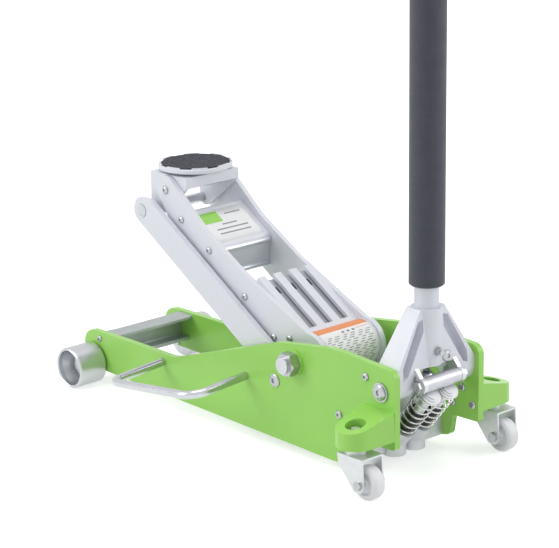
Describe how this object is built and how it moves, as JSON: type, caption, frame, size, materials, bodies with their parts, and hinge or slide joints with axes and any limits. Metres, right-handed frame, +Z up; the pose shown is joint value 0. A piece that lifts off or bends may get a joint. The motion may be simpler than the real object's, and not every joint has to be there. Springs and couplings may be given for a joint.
{
  "type": "hydraulic trolley jack",
  "caption": "Low-profile aluminium trolley jack with a levelling lift arm, twin pump, upright foam-sleeved handle, side carry handles and swivel casters.",
  "frame": {"origin": "on the floor under the middle of the bounding box", "axes": "+X towards the saddle end, +Y to the left side, +Z up"},
  "size_m": [0.7356, 0.3898, 1.1388],
  "materials": {
    "green_paint": "gloss",
    "silver_paint": "satin",
    "cast_aluminium": "satin",
    "bright_steel": "satin",
    "zinc": "satin",
    "dark_steel": "matte",
    "rubber": "matte",
    "foam": "matte",
    "nylon": "satin",
    "grip_rubber": "matte"
  },
  "bodies": {
    "chassis": {"side_plate_left": "green_paint", "side_plate_right": "green_paint", "front_cross_member": "silver_paint", "front_axle": "bright_steel", "axle_nuts": "zinc", "carry_handle_left": "bright_steel", "carry_handle_right": "bright_steel", "caster_bracket_left": "green_paint", "caster_bracket_right": "green_paint", "frame_screws": "zinc", "pump_block": "cast_aluminium", "pump_barrels": "dark_steel", "lift_cylinder": "bright_steel", "gland_nut": "zinc", "pivot_shaft": "bright_steel", "pivot_spacers": "bright_steel", "pivot_nuts": "zinc", "link_bolts": "zinc", "yoke_bolts": "zinc", "pump_springs": "zinc"},
    "arm": {"arm_plate_left": "silver_paint", "arm_plate_right": "silver_paint", "arm_upper_box": "silver_paint", "arm_rear_cover": "silver_paint", "arm_screws": "zinc", "arm_pivot_tube": "bright_steel", "horn_pin": "bright_steel", "saddle_rod": "bright_steel"},
    "horn_roller": {"horn_roller": "bright_steel"},
    "saddle_head": {"saddle_bracket": "silver_paint", "link_pins": "zinc"},
    "saddle": {"saddle_dish": "silver_paint", "saddle_pad": "rubber", "saddle_clip": "bright_steel"},
    "link_left": {"link_left": "silver_paint"},
    "link_right": {"link_right": "silver_paint"},
    "ram": {"ram_rod": "bright_steel"},
    "yoke": {"handle_yoke": "silver_paint", "roller_straps": "zinc", "roller_bolt": "zinc", "lock_screw": "zinc"},
    "roller": {"pump_roller": "bright_steel"},
    "handle": {"handle_lower_tube": "silver_paint", "foam_sleeve": "foam", "handle_upper_tube": "cast_aluminium", "handle_grip": "grip_rubber", "handle_cap": "grip_rubber", "release_rod": "bright_steel"},
    "valve": {"valve_stem": "bright_steel"},
    "plunger_left": {"plunger_left": "zinc"},
    "plunger_right": {"plunger_right": "zinc"},
    "front_wheel_left": {"front_wheel_left": "cast_aluminium"},
    "front_wheel_right": {"front_wheel_right": "cast_aluminium"},
    "caster_left": {"caster_fork_left": "zinc", "caster_axle_left": "zinc"},
    "caster_right": {"caster_fork_right": "zinc", "caster_axle_right": "zinc"},
    "caster_wheel_left": {"caster_wheel_left": "nylon"},
    "caster_wheel_right": {"caster_wheel_right": "nylon"}
  },
  "joints": [
    {"name": "lift", "type": "hinge", "parent": "chassis", "child": "arm", "pos_m": [-0.14474, 0, 0.13841], "axis": [0, -1, 0], "range_deg": [-44.6, 17.4]},
    {"name": "head_level", "type": "hinge", "parent": "arm", "child": "saddle_head", "pos_m": [0.16968, 0, 0.33534], "axis": [0, -1, 0], "range_deg": [-17.5, 44.7]},
    {"name": "link_left_swing", "type": "hinge", "parent": "chassis", "child": "link_left", "pos_m": [-0.10249, 0.07, 0.10175], "axis": [0, -1, 0], "range_deg": [-44.7, 17.5]},
    {"name": "link_right_swing", "type": "hinge", "parent": "chassis", "child": "link_right", "pos_m": [-0.10249, -0.07, 0.10175], "axis": [0, -1, 0], "range_deg": [-44.7, 17.5]},
    {"name": "horn_roll", "type": "hinge", "parent": "arm", "child": "horn_roller", "pos_m": [-0.13045, 0, 0.0853], "axis": [0, 1, 0], "continuous": true},
    {"name": "saddle_turn", "type": "hinge", "parent": "saddle_head", "child": "saddle", "pos_m": [0.16968, 0, 0.33534], "axis": [0, 0, 1], "continuous": true},
    {"name": "ram_travel", "type": "slide", "parent": "chassis", "child": "ram", "axis": [0.9998, 0, 0.0202], "range_m": [-0.0414, 0.0162]},
    {"name": "handle_pump", "type": "hinge", "parent": "chassis", "child": "yoke", "pos_m": [-0.32313, 0, 0.1362], "axis": [0, -1, 0], "range_deg": [0, 75], "stiffness_Nm_per_rad": 12, "springref_deg": -1.72},
    {"name": "roller_roll", "type": "hinge", "parent": "yoke", "child": "roller", "pos_m": [-0.35019, 0, 0.13915], "axis": [0, 1, 0], "continuous": true},
    {"name": "handle_twist", "type": "hinge", "parent": "yoke", "child": "handle", "pos_m": [-0.32313, 0, 0.1362], "axis": [-0.0202, 0, 0.9998], "range_deg": [0, 120]},
    {"name": "valve_turn", "type": "hinge", "parent": "chassis", "child": "valve", "pos_m": [-0.27467, 0, 0.06466], "axis": [-0.5608, 0, 0.8279], "range_deg": [-0.5, 120.5]},
    {"name": "plunger_left_travel", "type": "slide", "parent": "chassis", "child": "plunger_left", "axis": [0.6582, 0, -0.7529], "range_m": [-0.0008, 0.033], "deforming": ["pump_springs"]},
    {"name": "plunger_right_travel", "type": "slide", "parent": "chassis", "child": "plunger_right", "axis": [0.6582, 0, -0.7529], "range_m": [-0.0008, 0.033]},
    {"name": "front_wheel_left_roll", "type": "hinge", "parent": "chassis", "child": "front_wheel_left", "pos_m": [0.3351, 0.1152, 0.0327], "axis": [0, 1, 0], "continuous": true},
    {"name": "front_wheel_right_roll", "type": "hinge", "parent": "chassis", "child": "front_wheel_right", "pos_m": [0.3351, -0.1152, 0.0327], "axis": [0, 1, 0], "continuous": true},
    {"name": "caster_left_swivel", "type": "hinge", "parent": "chassis", "child": "caster_left", "pos_m": [-0.3198, 0.1328, 0.07075], "axis": [0, 0, 1], "continuous": true},
    {"name": "caster_left_roll", "type": "hinge", "parent": "caster_left", "child": "caster_wheel_left", "pos_m": [-0.3438, 0.1328, 0.024], "axis": [0, 1, 0], "continuous": true},
    {"name": "caster_right_swivel", "type": "hinge", "parent": "chassis", "child": "caster_right", "pos_m": [-0.3198, -0.1328, 0.07075], "axis": [0, 0, 1], "continuous": true},
    {"name": "caster_right_roll", "type": "hinge", "parent": "caster_right", "child": "caster_wheel_right", "pos_m": [-0.3438, -0.1328, 0.024], "axis": [0, 1, 0], "continuous": true}
  ],
  "couplings": [
    {"joint": "head_level", "follows": "lift", "ratio": -1},
    {"joint": "link_left_swing", "follows": "lift", "ratio": 1},
    {"joint": "link_right_swing", "follows": "lift", "ratio": 1},
    {"joint": "ram_travel", "follows": "lift", "m_per_rad": 0.053},
    {"joint": "plunger_left_travel", "follows": "handle_pump", "m_per_rad": 0.025},
    {"joint": "plunger_right_travel", "follows": "handle_pump", "m_per_rad": 0.025},
    {"joint": "valve_turn", "follows": "handle_twist", "ratio": 1}
  ]
}
